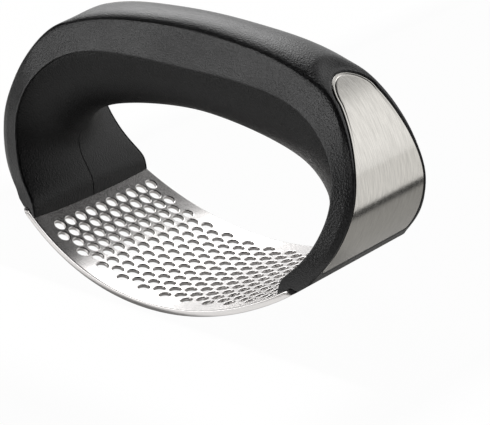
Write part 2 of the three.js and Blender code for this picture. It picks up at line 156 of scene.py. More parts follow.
# Trims
TRIM_BOTTOM = 16.6
TRIM_TOP = 53.6
TRIM_HALF_BOTTOM = 15.5
TRIM_HALF_BEND = 12.9
TRIM_BEND_Z = 32.7
TRIM_HALF_TOP = 6.4
TRIM_SHOULDER = 50.0
TRIM_CORNER = 1.0
ABOVE_TRIM = 3.0               # heights on the legs are read from this far above the trims
TRIM_POINTS = 300
TRIM_THICKNESS = 0.7
TRIM_SIDE_STEPS = 60
TRIM_TOP_STEPS = 30
TRIM_CORNER_STEPS = 8
TRIM_FILL = (0.9, 2.2)         # spacing of the points on its face, along and across
TRIM_FILL_GAP = 0.3
FOLD_LIMIT = 0.02              # an offset point is in a fold if it is nearer than it should be by this
# Distance inwards from the trim's outline, and height over its seat: a rolled rim round a flat face.
TRIM_PROFILE = ((0.0, -TRIM_THICKNESS), (0.0, -0.14), (0.02, -0.1), (0.06, -0.08), (0.2, -0.08), (0.36, -0.1),
                (0.48, -0.15), (0.56, -0.16), (0.64, -0.12), (0.75, -0.08), (1.1, -0.08))
RIM_FADE_LOW = 38              # the rolled rim is full above the higher z, and flat below the lower
RIM_FADE_HIGH = 47
# Distance outwards from the trim's outline, and height over its seat: recess floor, wall and lip.
RECESS_PROFILE = ((0.03, -1.3), (0.05, -0.34), (0.46, -0.3), (0.55, -0.1), (0.62, -0.02), (0.7, 0.0))
LOOP_GAP = 0.04                # least distance between those lines at the border of the crown
PAD_END = 1.2                  # the flat surround ends this far from the trim
PAD_FADE = 4.2
PAD_BORDER = 0.8               # it slopes down to the side bands over this width
RING_GAP = 0.1                 # between the trim's rings and the ridge's lines
GRID_GAP = 0.2                 # and the even grid
PAD_RINGS = (0.85, 1.05, 1.3, 1.7, 2.1, 2.5, 2.9, 3.3, 3.8, 4.3, 4.8, 5.3)

# Rails of the handle, from the middle of the arch down to the right foot, as in the CAD model.
CROWN = ((0, 59.9), (12, 59.4), (22.8, 58.2), (31.8, 55.8), (38.2, 52.1), (42.6, 46.6),
         (46, 40), (47.7, 33), (47.1, 26.8), (44.8, 20.8), (41.8, 16.2), (40.3, 13.9), (38.7, 11.5))
SHOULDER = ((0, 6, 57.1), (11.5, 6.2, 56.7), (22, 6.8, 55.7), (30.6, 7.5, 53.7), (37.3, 8.2, 50.8),
            (42.4, 9.5, 46.3), (45.9, 11, 39.9), (47.7, 12.9, 33), (47.1, 14.7, 26.8), (44.8, 16.3, 20.8),
            (41.8, 17.2, 16.2), (40.3, 17.5, 13.9), (38.6, 17.8, 11.6))
EDGE = ((0, 7.8, 49.9), (10.5, 7.9, 49.9), (19.5, 8.3, 49.6), (27, 8.9, 48.6), (33.5, 9.8, 46.2),
        (38.3, 11, 42.6), (41.6, 12.5, 38), (42.9, 14.2, 32.5), (42.2, 15.6, 26.8), (39.5, 17.5, 20.5),
        (36, 18.8, 16.3), (34.3, 19.4, 13.9), (33.8, 19.6, 11))
RIDGE = ((0, 38.5), (9, 37.9), (17, 36.7), (23.5, 35.2), (28.9, 33.2), (33, 30.3),
         (35.8, 27.1), (37.2, 24.6), (37.4, 22.2), (36.4, 19.4), (34.4, 16.2), (33.5, 13.9), (33.3, 11))


# ---- small tools -----------------------------------------------------------------------------

def spline(knots, at):
    """A natural cubic spline through evenly spaced knots, read at positions counted in knots."""
    count = len(knots)
    system = np.eye(count)
    pull = np.zeros_like(knots)
    for i in range(1, count - 1):
        system[i, i - 1:i + 2] = (1, 4, 1)
        pull[i] = 6 * (knots[i + 1] - 2 * knots[i] + knots[i - 1])
    bend = np.linalg.solve(system, pull)
    cell = np.clip(at.astype(int), 0, count - 2)
    f = (at - cell)[:, None]
    near = knots[cell] * (1 - f) + bend[cell] * ((1 - f) ** 3 - (1 - f)) / 6
    far = knots[cell + 1] * f + bend[cell + 1] * (f ** 3 - f) / 6
    return near + far


def smoothstep(low, high, value):
    f = np.clip((value - low) / (high - low), 0, 1)
    return f * f * (3 - 2 * f)


def walked(points):
    """The length along a line of points, up to each of them."""
    return np.concatenate(([0], np.cumsum(np.linalg.norm(np.diff(points, axis=0), axis=1))))


def columns_at(rows, along, at):
    """A line of points, given by lengths along it, read at other lengths."""
    return np.column_stack([np.interp(at, along, column) for column in rows.T])


def triangulate(points, loops):
    """Triangles over 2-D points, kept inside the first loop and outside every other one."""
    edges = [(loop[i], loop[(i + 1) % len(loop)]) for loop in loops for i in range(len(loop))]
    flat = [Vector(p) for p in points]
    _, _, faces, origins, _, _ = geometry.delaunay_2d_cdt(flat, edges, [], 1, 1e-6)
    return [[origins[v][0] for v in face] for face in faces]


def make_object(name, points, faces, smooth_angle=SMOOTH_ANGLE):
    mesh = bpy.data.meshes.new(name)
    mesh.from_pydata((np.asarray(points) * MM).tolist(), [], [list(map(int, face)) for face in faces])
    mesh.validate()
    mesh.polygons.foreach_set("use_smooth", [True] * len(mesh.polygons))
    piece = bpy.data.objects.new(name, mesh)
    bpy.context.collection.objects.link(piece)
    make_outward(piece)
    mesh.set_sharp_from_angle(angle=math.radians(smooth_angle))
    return piece


def make_outward(piece):
    """Turns all faces of a closed mesh outwards."""
    body = bmesh.new()
    body.from_mesh(piece.data)
    bmesh.ops.recalc_face_normals(body, faces=body.faces)
    body.to_mesh(piece.data)
    body.free()


def cut(piece, cutter):
    """Subtracts one closed mesh from another, and removes the cutter."""
    step = piece.modifiers.new("cut", "BOOLEAN")
    step.operation = "DIFFERENCE"
    step.solver = "MANIFOLD"
    step.object = cutter
    bpy.context.view_layer.objects.active = piece
    bpy.ops.object.modifier_apply(modifier=step.name)
    bpy.data.objects.remove(cutter)
    piece.data.set_sharp_from_angle(angle=math.radians(SMOOTH_ANGLE))


# ---- the handle's surfaces ---------------------------------------------------------------------

def full_rail(points):
    """Stations along a rail, from the left foot to the right: x, half width and z."""
    right = np.array([(p[0], p[1] if len(p) == 3 else 0.0, p[-1]) for p in points], float)
    left = right[:0:-1] * (-1, 1, 1)
    knots = np.vstack((left, right))
    at = np.linspace(0, len(knots) - 1, (len(knots) - 1) * STEPS_PER_ROW + 1)
    return spline(knots, at)


crown = full_rail(CROWN)
shoulder = full_rail(SHOULDER)
edge = full_rail(EDGE)
ridge = full_rail(RIDGE)
seat = crown * (1 - SEAT_DROP) + shoulder * SEAT_DROP
STATIONS = len(crown)
station_share = np.abs(np.linspace(-1, 1, STATIONS))
# Beside the trims, the side band ends in a fine ridge that stands lower than the trim.
beside_trim = smoothstep(*FLANK_STARTS, station_share) * (1 - smoothstep(*FLANK_ENDS, station_share))
band_run = (edge - shoulder) / np.linalg.norm(edge - shoulder, axis=1)[:, None]
shoulder = shoulder + band_run * (FLANK * beside_trim)[:, None]


def lengths_along(rail):
    steps = np.hypot(np.diff(rail[:, 0]), np.diff(rail[:, 2]))
    return np.concatenate(([0], np.cumsum(steps)))


seat_length = lengths_along(seat)


def outward_of(rail):
    """Unit vectors square to a rail in the XZ plane, away from the inside of the arch."""
    run = np.gradient(rail[:, (0, 2)], axis=0)
    run /= np.linalg.norm(run, axis=1)[:, None]
    return np.column_stack((-run[:, 1], np.zeros(len(run)), run[:, 0]))


seat_out = outward_of(seat)


def read(rail, along):
    """A rail's rows at lengths measured along the trims' seat."""
    return columns_at(rail, seat_length, along)


def half_trim():
    """Half of the right trim's outline, from its bottom corner to the middle of its top: (half width, z)."""
    sides = []
    for f in np.linspace(0, 1, TRIM_SIDE_STEPS):
        a, b, c = (1 - f) ** 2, 2 * f * (1 - f), f * f
        sides.append((a * TRIM_HALF_BOTTOM + b * TRIM_HALF_BEND + c * TRIM_HALF_TOP,
                      a * TRIM_BOTTOM + b * TRIM_BEND_Z + c * TRIM_SHOULDER))
    top = [(TRIM_HALF_TOP * math.cos(turn), TRIM_SHOULDER + (TRIM_TOP - TRIM_SHOULDER) * math.sin(turn))
           for turn in np.linspace(0, math.pi / 2, TRIM_TOP_STEPS)[1:]]
    return np.array(sides + top)


def trim_outline():
    """The right trim's outline as points (length along the seat, y), and outward normals."""
    half = half_trim()
    right = STATIONS // 2 + np.argmax(seat[STATIONS // 2:, 2] < TRIM_TOP + ABOVE_TRIM)
    along = np.interp(half[:, 1], seat[right:, 2][::-1], seat_length[right:][::-1])
    half = np.column_stack((along, half[:, 0]))
    corner = half[0]
    turns = np.linspace(0, 1, TRIM_CORNER_STEPS)[:, None]
    start = corner - (0, TRIM_CORNER)
    end = corner + TRIM_CORNER * (half[2] - corner) / np.linalg.norm(half[2] - corner)
    rounded = start * (1 - turns) ** 2 + 2 * corner * turns * (1 - turns) + end * turns ** 2
    half = np.vstack((rounded, half[half[:, 0] < end[0]]))
    closed = np.vstack((half, half[-2::-1] * (1, -1), half[:1]))
    walk = walked(closed)
    outline = columns_at(closed, walk, np.linspace(0, walk[-1], TRIM_POINTS, endpoint=False))
    run = np.roll(outline, -1, axis=0) - np.roll(outline, 1, axis=0)
    run /= np.linalg.norm(run, axis=1)[:, None]
    normals = np.column_stack((run[:, 1], -run[:, 0]))
    if np.sum(normals * (outline - outline.mean(axis=0))) < 0:
        normals = -normals
    return outline, normals


outline, outline_normals = trim_outline()


def distance_to_trim(points):
    """Signed distances from points (length, y) to the right trim's outline, positive outside."""
    gaps = np.linalg.norm(points[:, None] - outline[None], axis=2)
    near = gaps.argmin(axis=1)
    side = np.sum((points - outline[near]) * outline_normals[near], axis=1)
    return np.where(side < 0, -1, 1) * gaps[np.arange(len(points)), near]


def offset_loop(distance):
    """The trim's outline moved outwards, or inwards by a negative distance, without folds at corners."""
    loop = outline + outline_normals * distance
    return loop[np.abs(distance_to_trim(loop)) > abs(distance) - FOLD_LIMIT]


def mirror_length(points):
    return np.column_stack((seat_length[-1] - points[:, 0], points[:, 1]))


def to_right_leg(points):
    """Points (length, y) with those of the left half mirrored to the right half."""
    middle = seat_length[-1] / 2
    return np.column_stack((middle + np.abs(points[:, 0] - middle), points[:, 1]))


def outer_face(points):
    """The shell's outer surface at points (length, y): domed crown, flat pads and trim recesses."""
    high, low, level = (read(rail, points[:, 0]) for rail in (crown, shoulder, seat))
    out = read(seat_out, points[:, 0])
    share = np.clip(points[:, 1] / low[:, 1], -1, 1)
    rise = np.sqrt(1 - share ** 2)[:, None]
    dome = low + (high - low) * rise
    gap = distance_to_trim(to_right_leg(points))
    flat = 1 - smoothstep(PAD_END, PAD_END + PAD_FADE, gap)
    flat *= smoothstep(0, PAD_BORDER, low[:, 1] - np.abs(points[:, 1]))
    face = dome + (level - dome) * flat[:, None]
    profile = np.array(RECESS_PROFILE)
    face += out * np.interp(gap, profile[:, 0], profile[:, 1])[:, None]
    inside = low[:, 1] - CORNER - np.abs(points[:, 1])
    beside = np.interp(points[:, 0], seat_length, beside_trim)
    face += out * (RIDGE_HEIGHT * beside * np.exp(-((inside - RIDGE_AT) / RIDGE_SPREAD) ** 2))[:, None]
    face[:, 1] = points[:, 1]
    return face


def shell_sheet():
    """Points and triangles of the shell's outer surface, with its front and back station lines."""
    columns = -np.cos(np.linspace(0, math.pi, CROWN_STEPS + 1))
    width = shoulder[:, 1] - CORNER
    lengths = np.repeat(seat_length[:, None], CROWN_STEPS + 1, axis=1)
    grid = np.stack((lengths, width[:, None] * columns), axis=2)
    border = np.zeros(grid.shape[:2], bool)
    border[(0, -1), :] = True
    border[:, (0, -1)] = True
    flat = grid.reshape(-1, 2)
    keep = border.reshape(-1) | (distance_to_trim(to_right_leg(flat)) > PAD_RINGS[-1] + GRID_GAP)
    index = (np.cumsum(keep) - 1).reshape(border.shape)
    points = [flat[keep]]
    loops = [[*index[:, 0], *index[-1, 1:], *index[-2::-1, -1], *index[0, -2:0:-1]]]
    total = int(keep.sum())

    def room_at(line):
        return np.interp(line[:, 0], seat_length, width)

    recess = []
    for number, (distance, _) in enumerate(RECESS_PROFILE):
        loop = offset_loop(distance)
        room = room_at(loop) - LOOP_GAP * (len(RECESS_PROFILE) - number)
        loop[:, 1] = np.clip(loop[:, 1], -room, room)
        recess.append(loop)
    pad = [offset_loop(distance) for distance in PAD_RINGS]
    pad = [ring[np.abs(ring[:, 1]) < room_at(ring) - PAD_BORDER] for ring in pad]
    for loop in recess + [mirror_length(loop) for loop in recess]:
        points.append(loop)
        loops.append(list(range(total, total + len(loop))))
        total += len(loop)
    points += pad + [mirror_length(ring) for ring in pad]
    for distance in RIDGE_LINES:
        for side in (-1, 1):
            line = np.column_stack((seat_length, side * (width - distance)))[1:-1]
            reach = distance_to_trim(to_right_leg(line))
            points.append(line[(reach > RECESS_PROFILE[-1][0] + RING_GAP) & (reach < PAD_RINGS[-1])])
    points = np.vstack(points)
    faces = triangulate(points, loops)
    return outer_face(points), faces, index


def inset(rail, distance):
    """A rail moved towards the inside of the arch."""
    return rail - outward_of(rail) * distance


def bow(base, half_width, peak, power, count):
    """Points across the arch at every station, from front to back: (stations, count + 1, 3)."""
    turn = np.linspace(0, math.pi, count + 1)
    rise = np.abs(np.sin(turn))[None] ** (2 * np.asarray(power).reshape(-1, 1))
    across = base[:, None] + (peak - base)[:, None] * rise[:, :, None]
    across[:, :, 1] = -half_width[:, None] * np.cos(turn)[None]
    return across


def band_point(distance):
    """Points on the back side band, a distance from its inner edge."""
    up = shoulder - edge
    up /= np.linalg.norm(up, axis=1)[:, None]
    return edge + up * np.asarray(distance).reshape(-1, 1)


def blend(a, corner, b, steps):
    """Points of a rounded corner, between a and b and without them."""
    fs = [i / (steps + 1) for i in range(1, steps + 1)]
    return [a * (1 - f) ** 2 + corner * 2 * f * (1 - f) + b * f * f for f in fs]


def front(line):
    """A line of the back half, mirrored to the front."""
    return line * (1, -1, 1)


def strip_faces(rows):
    """Quads between neighbouring lines of vertex numbers."""
    faces = []
    for line, following in zip(rows[:-1], rows[1:]):
        for i in range(len(line) - 1):
            faces.append((line[i], line[i + 1], following[i + 1], following[i]))
    return faces


def outer_shell():
    """The outer moulding: outer face, side bands, a thin wall round the liner, and the inside."""
    points, faces, index = shell_sheet()
    band_length = np.linalg.norm(shoulder - edge, axis=1)
    top = band_point(band_length - CORNER)
    rim = band_point(EDGE_ROUND)
    lines = blend(points[index[:, -1]], shoulder, top, 3) + [top]
    lines += [top + (rim - top) * i / BAND_STEPS for i in range(1, BAND_STEPS + 1)]
    inner = edge - (0, RIM_WALL, 0)
    step = band_point(RIM_DEPTH)
    lines += blend(rim, edge, inner, 3) + [inner, step - (0, RIM_WALL, 0), step - (0, SIDE_WALL, 0)]
    ceiling = bow(inset(shoulder, CROWN_WALL), shoulder[:, 1] - SIDE_WALL, inset(crown, CROWN_WALL), 0.5,
                  CEILING_STEPS)
    under = [ceiling[:, k] for k in range(CEILING_STEPS, -1, -1)]
    around = lines + under + [front(line) for line in reversed(lines)]
    rows = [index[:, -1]]
    total = len(points)
    for _ in around:
        rows.append(np.arange(total, total + STATIONS))
        total += STATIONS
    rows.append(index[:, 0])
    faces += strip_faces(rows)
    for station in (0, -1):
        faces.append([*index[station, :-1], *[row[station] for row in rows[:-1]]])
    piece = make_object("shell", np.vstack([points, *around]), faces)
    make_room(piece)
    return piece


def fullness():
    """Power of the inner face's sections: 0.5 is an ellipse, and 1 is narrower, with flared sides."""
    return 0.5 + 0.5 * smoothstep(*FULLNESS_SPAN, station_share)


def face_columns(base, half_width):
    """The inner face at every station, at even steps, with a fine line down the middle of the legs."""
    fine = bow(base, half_width, ridge, fullness(), FINE_STEPS)
    near_middle = np.array((-2, -1, -0.5, 0, 0.5, 1, 2)) * PARTING_WIDTH
    shares = np.linspace(-1, 1, LINER_STEPS + 1)
    shares = shares[np.abs(shares) > PARTING_CLEAR]
    depth = PARTING_DEPTH * smoothstep(*PARTING_SPAN, station_share)
    depth += NOTCH_DEPTH * smoothstep(*NOTCH_SPAN, station_share)
    groove = np.interp(near_middle, (-PARTING_WIDTH, 0, PARTING_WIDTH), (0, 1, 0))
    out = outward_of(ridge)
    rows = []
    for station, section in enumerate(fine):
        walk = walked(section)
        middle = walk[-1] / 2
        at = np.concatenate((middle + shares[shares < 0] * (middle - EDGE_ROUND), middle + near_middle,
                             middle + shares[shares > 0] * (middle - EDGE_ROUND)))
        row = columns_at(section, walk, at)
        first = len(shares) // 2
        row[first:first + len(near_middle)] += groove[:, None] * depth[station] * out[station]
        rows.append(row)
    return np.stack(rows, axis=1)


def inner_liner():
    """The inner moulding, with its edges rounded into the seam beside the shell's thin wall."""
    base = edge - (0, RIM_WALL + SEAM, 0)
    columns = list(face_columns(base, base[:, 1]))
    lip = band_point(RIM_DEPTH - 2 * SEAM) - (0, RIM_WALL + SEAM, 0)
    turn = base + (lip - base) * (EDGE_ROUND / np.linalg.norm(lip - base, axis=1))[:, None]
    front_corner = blend(front(turn), front(base), columns[0], 2)
    back_corner = blend(columns[-1], base, turn, 2)
    depth = np.linalg.norm((edge - ridge) * (1, 0, 1), axis=1)
    share = np.minimum(LINER_WALL / depth, LINER_SHARE)[:, None]
    peak = ridge + (edge * (1, 0, 1) - ridge) * share
    back = bow(lip, edge[:, 1] - LINER_WALL, peak, fullness(), LINER_BACK_STEPS)
    around = [front(lip), front(turn)] + front_corner + columns + back_corner + [turn, lip]
    around += [back[:, k] for k in range(LINER_BACK_STEPS, -1, -1)]
    numbers = np.arange(len(around) * STATIONS).reshape(len(around), STATIONS)
    rows = [*numbers, numbers[0]]
    faces = strip_faces(rows)
    faces += [list(numbers[:, 0]), list(numbers[:, -1])]
    piece = make_object("liner", np.vstack(around), faces)
    make_room(piece)
    return piece


# ---- plate -------------------------------------------------------------------------------------

TOP_RADIUS = PLATE_RADIUS - RIM_HEIGHT
MID_RADIUS = TOP_RADIUS + PLATE_THICKNESS / 2
CENTRE_Z = PLATE_RADIUS * math.cos(ROW_STEP / TOP_RADIUS)
BEND_AT = BEND_START * MID_RADIUS
BEND_LENGTH = (FLANGE_ANGLE - BEND_START) * BEND_RADIUS
SHEET_END = BEND_AT + BEND_LENGTH + FLANGE_LENGTH
END_AT = math.asin(RIM_END / TOP_RADIUS) * MID_RADIUS
END_SLANT = (math.asin(RIM_END_LOW / PLATE_RADIUS) * MID_RADIUS - END_AT) / RIM_HEIGHT
SLIT_AT = math.asin(math.sin(BEND_START) - FLANGE_SLIT / MID_RADIUS) * MID_RADIUS
BEND_LENGTHS = np.linspace(BEND_AT, BEND_AT + BEND_LENGTH, BEND_STEPS)


def on_plate(points, height):
    """Points (length, y) of the unrolled plate on the bent one, at heights from its middle."""
    along = np.abs(points[:, 0])
    side = np.sign(points[:, 0])
    on_flange = np.abs(points[:, 1]) < (FLANGE_WIDTH + FLANGE_SLIT) / 2
    bend_at = np.where(on_flange, BEND_AT, SHEET_END)
    arc = np.minimum(along, bend_at) / MID_RADIUS
    turned = np.clip(along - bend_at, 0, BEND_LENGTH) / BEND_RADIUS
    angle = arc + turned
    straight = np.maximum(along - bend_at - BEND_LENGTH, 0)
    x = MID_RADIUS * np.sin(arc) + BEND_RADIUS * (np.sin(angle) - np.sin(arc)) + straight * np.cos(angle)
    z = CENTRE_Z - MID_RADIUS * np.cos(arc) + BEND_RADIUS * (np.cos(arc) - np.cos(angle))
    z += straight * np.sin(angle)
    x -= height * np.sin(angle)
    z += height * np.cos(angle)
    return np.column_stack((side * x, points[:, 1], z))


def half_width(along):
    """Half of the plate's width at a length from its middle: the long edges are arcs, seen from above."""
    x = MID_RADIUS * math.sin(along / MID_RADIUS)
    return PLATE_HALF_WIDTH - SIDE_RADIUS + math.sqrt(SIDE_RADIUS ** 2 - x ** 2)


def sheet_border():
    """The unrolled plate's outline, inward directions, steps to the underside, turned edge, slanted end."""
    quarter = [(a, -half_width(a), RIM_WIDTH, 1, 0) for a in np.linspace(0, END_AT - EAR_ROUND, RIM_STEPS)]
    start = np.array(quarter[-1][:2])
    corner = np.array((END_AT, -half_width(END_AT)))
    end = corner + (0, EAR_ROUND)
    for f in np.linspace(0, 1, ROUND_STEPS)[1:]:
        spot = start * (1 - f) ** 2 + corner * 2 * f * (1 - f) + end * f * f
        quarter.append((*spot, max(corner[1] + RIM_WIDTH - spot[1], LEAST_STEP), 1, f))
    flange = FLANGE_WIDTH / 2
    ear = flange + FLANGE_SLIT
    quarter += [(END_AT, y, 0, 0, 1) for y in np.linspace(end[1] + PAST_CORNER, -ear, SLIT_STEPS)]
    quarter += [(a, -ear, 0, 0, 0) for a in np.linspace(END_AT, SLIT_AT, SLIT_STEPS)[1:]]
    quarter += [(a, -flange, 0, 0, 0) for a in (SLIT_AT, *BEND_LENGTHS, SHEET_END)]
    quarter = np.array(quarter)
    right = np.vstack((quarter, quarter[::-1] * (1, -1, -1, 1, 1)))
    rows = np.vstack((right, right[::-1][1:-1] * (-1, 1, 1, 1, 1)))
    outline = rows[:, :2]
    run = np.roll(outline, -1, axis=0) - outline
    run /= np.linalg.norm(run, axis=1)[:, None]
    run = run + np.roll(run, 1, axis=0)
    run /= np.linalg.norm(run, axis=1)[:, None]
    inward = np.column_stack((-run[:, 1], run[:, 0]))
    turned = rows[:, 3][:, None]
    across = np.column_stack((np.zeros(len(rows)), rows[:, 2]))
    return outline, inward, turned * across + (1 - turned) * inward * EDGE_INSET, rows[:, 3], rows[:, 4]


def hole_centres():
    """Centres (length, y) of the staggered rows of holes."""
    centres = []
    for row in range(HOLE_ROWS):
        stagger = HOLE_PITCH / 4 * (1 if row % 2 == 0 else -1)
        for column in range(HOLES_PER_ROW):
            centres.append(((row - (HOLE_ROWS - 1) / 2) * ROW_STEP * MID_RADIUS / TOP_RADIUS,
                            (column - (HOLES_PER_ROW - 1) / 2) * HOLE_PITCH + stagger))
    return centres


def circle(centre, radius, sides):
    turn = np.linspace(0, 2 * math.pi, sides, endpoint=False)
    return np.column_stack((centre[0] + radius * np.cos(turn), centre[1] + radius * np.sin(turn)))


def press_plate():
    """One sheet of triangles used for top and underside, joined by the walls of edges and holes."""
    half = PLATE_THICKNESS / 2
    border, inward, under_step, turned, slant = sheet_border()
    low_edge = PLATE_THICKNESS + (RIM_HEIGHT - PLATE_THICKNESS) * turned

    def edge_ring(distance, share, depth):
        """The border moved inwards by a distance and a share of the underside's step, and its height."""
        spots = border + inward * distance + under_step * share
        spots[:, 0] += np.sign(border[:, 0]) * slant * END_SLANT * depth
        return spots, half - depth

    flange_lengths = (*BEND_LENGTHS, BEND_AT + BEND_LENGTH + 4, BEND_AT - 0.9)
    ear_lengths = (BEND_AT - 2, BEND_AT, BEND_AT + 1.4)
    grid = [(side * a, y) for side in (-1, 1) for y in FLANGE_ROWS for a in flange_lengths]
    grid += [(side * a, y) for side in (-1, 1) for y in EAR_ROWS for a in ear_lengths]
    peg_at = BEND_AT + BEND_LENGTH + PEG_ALONG_FLANGE
    peg_holes = [(side * peg_at, y) for side in (-1, 1) for y in (-PEG_Y, PEG_Y)]
    holes = [(c, HOLE_PROFILE, HOLE_RADIUS) for c in hole_centres()]
    plain = PEG_RADIUS + PEG_PLAY
    holes += [(c, ((plain, 0.0),), plain) for c in peg_holes]
    # From the flat of the top over the rounded edge and down, then along the underside.
    rings = [(EDGE_INSET + 0.1, 0, 0.0), (EDGE_INSET, 0, 0.0), (0.1, 0, 0.02), (0.03, 0, 0.08), (0, 0, 0.2),
             (0, 0, low_edge - 0.12), (0, 0.05, low_edge - 0.03), (0, 0.15, low_edge), (0, 0.88, low_edge),
             (0, 1, PLATE_THICKNESS)]
    count = len(border)
    points = [edge_ring(*rings[0])[0], np.array(grid)]
    loops = [list(range(count))]
    total = count + len(grid)
    for centre, profile, _ in holes:
        points.append(circle(centre, profile[0][0], HOLE_SIDES))
        loops.append(list(range(total, total + HOLE_SIDES)))
        total += HOLE_SIDES
    flat = np.vstack(points)
    sheet = triangulate(flat, loops)
    owner = {v: k for k, loop in enumerate(loops[1:]) for v in loop}
    sheet = [f for f in sheet if not (f[0] in owner and all(owner.get(v) == owner[f[0]] for v in f))]
    low = flat.copy()
    low[:count] = edge_ring(*rings[-1])[0]
    for (centre, _, narrow), loop in zip(holes, loops[1:]):
        low[loop] = circle(centre, narrow, HOLE_SIDES)
    body = [on_plate(flat, half), on_plate(low, -half)]
    faces = sheet + [[v + total for v in face[::-1]] for face in sheet]
    size = 2 * total

    def wall(start, middle, end):
        """Quads from one loop of vertices to another, over new loops between them."""
        nonlocal size
        lines = [start]
        for line in middle:
            body.append(line)
            lines.append(np.arange(size, size + len(line)))
            size += len(line)
        lines.append(end)
        for line, following in zip(lines[:-1], lines[1:]):
            for i in range(len(line)):
                j = (i + 1) % len(line)
                faces.append((line[i], line[j], following[j], following[i]))

    rim = np.arange(count)
    wall(rim, [on_plate(*edge_ring(*ring)) for ring in rings[1:-1]], rim + total)
    for (centre, profile, _), loop in zip(holes, loops[1:]):
        ring = np.array(loop)
        middle = [on_plate(circle(centre, r, HOLE_SIDES), half + height) for r, height in profile[1:]]
        wall(ring, middle, ring + total)
    return make_object("plate", np.vstack(body), faces, PLATE_SMOOTH_ANGLE)


def arc_points(radius, start, end, steps):
    """Points (x, z) of an arc round the plate's centre, from one x to another."""
    turns = np.linspace(math.asin(start / radius), math.asin(end / radius), steps)
    return [(radius * math.sin(a), CENTRE_Z - radius * math.cos(a)) for a in turns]


def extrude_across(name, profile, width):
    """A closed solid with one section (x, z) all the way across the press."""
    count = len(profile)
    points = [(x, y, z) for y in (-width / 2, width / 2) for x, z in profile]
    faces = [list(range(count)), list(range(2 * count - 1, count - 1, -1))]
    faces += [(i, (i + 1) % count, (i + 1) % count + count, i + count) for i in range(count)]
    return make_object(name, points, faces)


def plate_room():
    """What the plate leaves of the feet: they rest on its top, and come down past its slanted ends."""
    top, low = RIM_END + CONTACT, RIM_END_LOW + CONTACT
    profile = [(-ROOM_REACH, -ROOM_DEPTH), (ROOM_REACH, -ROOM_DEPTH)]
    profile += arc_points(PLATE_RADIUS, ROOM_REACH, low, ROOM_END_STEPS)
    profile += arc_points(TOP_RADIUS - CONTACT, top, -top, ROOM_STEPS)
    profile += arc_points(PLATE_RADIUS, -low, -ROOM_REACH, ROOM_END_STEPS)
    return extrude_across("plate_room", profile, ROOM_WIDTH)


def flange_room(side):
    """The slot that takes one flange."""
    before_bend = np.linspace(BEND_AT - SLOT_LEAD, BEND_AT, SLIT_STEPS)
    lengths = np.array([*before_bend, *BEND_LENGTHS[1:], SHEET_END + CONTACT])
    middle = np.column_stack((side * lengths, np.zeros(len(lengths))))
    half = PLATE_THICKNESS / 2 + CONTACT
    over, under = on_plate(middle, half), on_plate(middle, -half)
    profile = [(x, z) for x, _, z in [*under, *over[::-1]]]
    return extrude_across("flange_room", profile, FLANGE_WIDTH + 2 * CONTACT)


def make_room(piece):
    """Cuts the plate's room out of a part of the handle."""
    cut(piece, plate_room())
    for side in (-1, 1):
        cut(piece, flange_room(side))


# ---- trims -------------------------------------------------------------------------------------

def trim_mesh(name, side):
    """A pressed sheet: a flat brushed face inside a rolled rim, and a plain underside."""
    profile = np.array(TRIM_PROFILE)
    loops, points = [], []
    total = 0
    for distance in profile[2:, 0]:
        loop = offset_loop(-distance)
        points.append(loop)
        loops.append(list(range(total, total + len(loop))))
        total += len(loop)
    low, high = outline.min(axis=0), outline.max(axis=0)
    along, across = (np.arange(low[k], high[k], TRIM_FILL[k]) for k in (0, 1))
    fill = np.array([(a, y) for a in along for y in across])
    fill = fill[distance_to_trim(fill) < -profile[-1, 0] - TRIM_FILL_GAP]
    points.append(fill)
    total += len(fill)
    flat = np.vstack(points)
    heights = np.interp(-distance_to_trim(flat), profile[1:, 0], profile[1:, 1])
    level = profile[-1, 1]
    rolled = smoothstep(RIM_FADE_LOW, RIM_FADE_HIGH, read(seat, flat[:, 0])[:, 2])
    heights = level + (heights - level) * rolled
    sheet = triangulate(flat, loops)

    def place(where, height):
        spot = read(seat, where[:, 0]) + read(seat_out, where[:, 0]) * height[:, None]
        spot[:, 1] = where[:, 1]
        return spot * (side, 1, 1)

    upper = place(flat, heights)
    lower = place(flat, np.full(len(flat), -TRIM_THICKNESS))
    edge_low, edge_high = (place(outline, np.full(TRIM_POINTS, height)) for height in profile[:2, 1])
    faces = sheet + [[v + total for v in face[::-1]] for face in sheet]
    ring = np.arange(TRIM_POINTS)
    assert len(loops[0]) == TRIM_POINTS
    rings = [ring, ring + 2 * total + TRIM_POINTS, ring + 2 * total, ring + total]
    for line, following in zip(rings[:-1], rings[1:]):
        for i in range(TRIM_POINTS):
            j = (i + 1) % TRIM_POINTS
            faces.append((line[i], line[j], following[j], following[i]))
    return make_object(name, np.vstack((upper, lower, edge_low, edge_high)), faces, TRIM_SMOOTH_ANGLE)


# ---- materials ---------------------------------------------------------------------------------

# Noise cells per metre, and heights in metres.
GRAIN = (2800, 2800, 2800)
GRAIN_HEIGHT = 0.0002
CLOUDS = (90, 90, 90)
SATIN = (2500, 2500, 2500)
SATIN_CLOUDS = (120, 120, 120)
STREAKS = (260, 4200, 260)
SHORT_STREAKS = (700, 3000, 700)
SCRATCH_HEIGHT = 0.00003
FOAM_CELLS = (2200, 2200, 2200)
FOAM_HEIGHT = 0.0001


